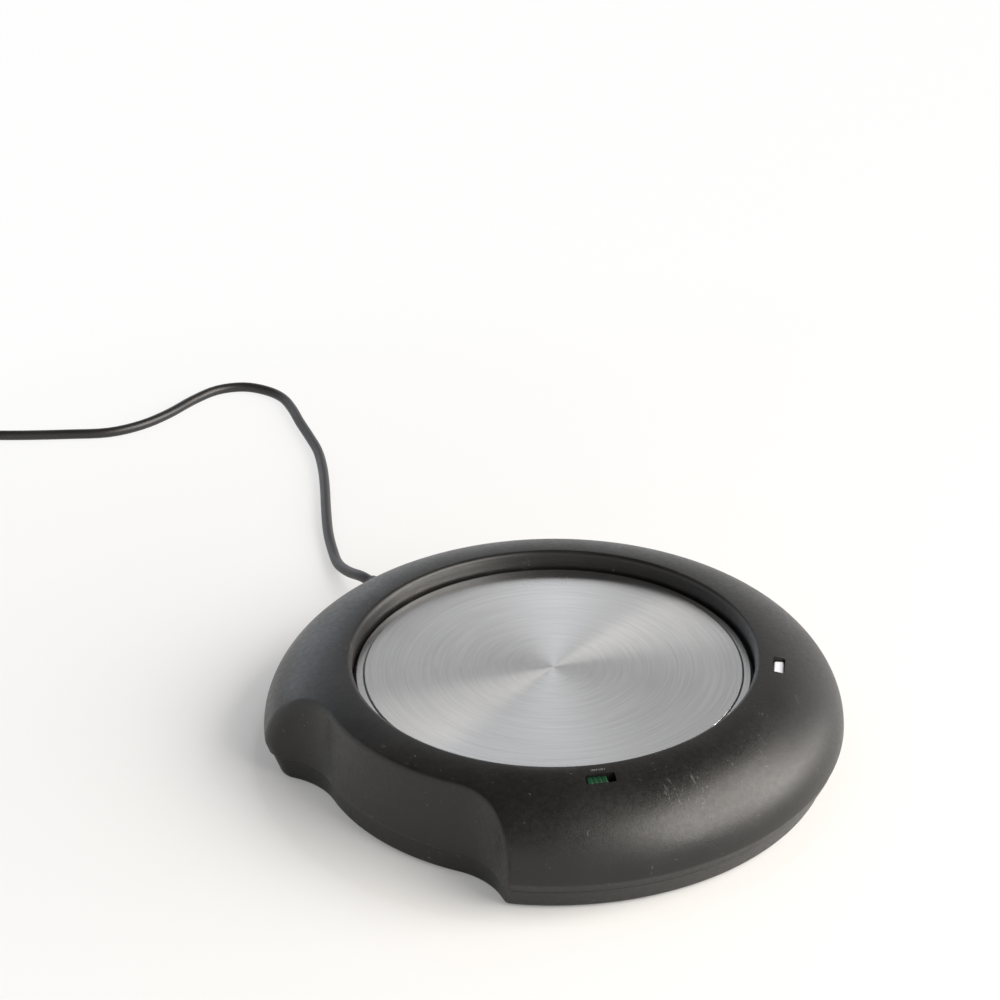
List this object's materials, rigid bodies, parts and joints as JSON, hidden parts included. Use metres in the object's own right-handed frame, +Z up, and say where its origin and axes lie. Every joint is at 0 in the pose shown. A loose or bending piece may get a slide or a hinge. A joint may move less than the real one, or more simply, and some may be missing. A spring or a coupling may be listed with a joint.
{
  "type": "electric mug warmer",
  "caption": "Round USB mug warmer: a steel hot plate in a dark domed ring with a scoop in its rim, a slide switch, an indicator and a lead with a USB plug.",
  "frame": {"origin": "on the table, under the centre of the ring", "axes": "+Z up; -Y the side that faces the user, with the switch; +X to the user's right; the scoop in the rim is at the front left, between -X and -Y"},
  "size_m": [0.223, 0.2038, 0.0206],
  "materials": {
    "case_plastic": "fine spark texture, charcoal black",
    "foot_rubber": "moulded",
    "zinc_steel": "zinc plated",
    "plate_steel": "polished stainless steel",
    "silicone_seal": "silicone",
    "heater_film": "amber polyimide film",
    "fibre_pad": "needled glass fibre",
    "thermostat_plastic": "moulded",
    "bracket_steel": "stamped sheet",
    "board_laminate": "solder mask on glass laminate",
    "switch_phenolic": "phenolic board",
    "switch_steel": "tinned sheet",
    "contact_brass": "bright",
    "button_plastic": "moulded, emerald green",
    "led_plastic": "milky diffusing plastic",
    "lead_steel": "tinned wire",
    "resistor_coat": "lacquer",
    "wire_red": "insulation",
    "wire_black": "insulation",
    "wire_white": "heat-proof insulation",
    "cord_pvc": "soft PVC, satin",
    "clamp_plastic": "moulded",
    "tie_fabric": "hook-and-loop strip",
    "plug_plastic": "moulded over the plug",
    "plug_steel": "nickel plated",
    "tongue_plastic": "moulded",
    "contact_gold": "gold plated"
  },
  "bodies": {
    "case": {"top_cover": "case_plastic", "base_cover": "case_plastic", "rubber_feet": "foot_rubber", "case_screws": "zinc_steel", "hot_plate": "plate_steel", "plate_seal": "silicone_seal", "heating_film": "heater_film", "insulation_pad": "fibre_pad", "thermostat": "thermostat_plastic", "heater_bracket": "bracket_steel", "bracket_screws": "zinc_steel", "circuit_board": "board_laminate", "board_screws": "zinc_steel", "switch_base": "switch_phenolic", "switch_frame": "switch_steel", "switch_terminals": "contact_brass", "indicator_led": "led_plastic", "led_leads": "lead_steel", "led_resistor": "resistor_coat", "supply_wire_red": "wire_red", "supply_wire_black": "wire_black", "heater_wires": "wire_white", "thermostat_wire": "wire_white", "strain_relief": "cord_pvc", "cord_inner_end": "cord_pvc", "cord_clamp": "clamp_plastic", "clamp_screws": "zinc_steel", "usb_cord": "cord_pvc", "cord_coil": "cord_pvc", "coil_tie": "tie_fabric", "usb_cord_tail": "cord_pvc", "usb_plug_grip": "plug_plastic", "usb_plug_shell": "plug_steel", "usb_plug_tongue": "tongue_plastic", "usb_plug_contacts": "contact_gold"},
    "button": {"switch_button": "button_plastic", "switch_contact": "contact_brass"}
  },
  "joints": [
    {"name": "switch_slide", "type": "slide", "parent": "case", "child": "button", "axis": [0.9806, 0.1959, 0], "range_m": [0, 0.0013]}
  ]
}
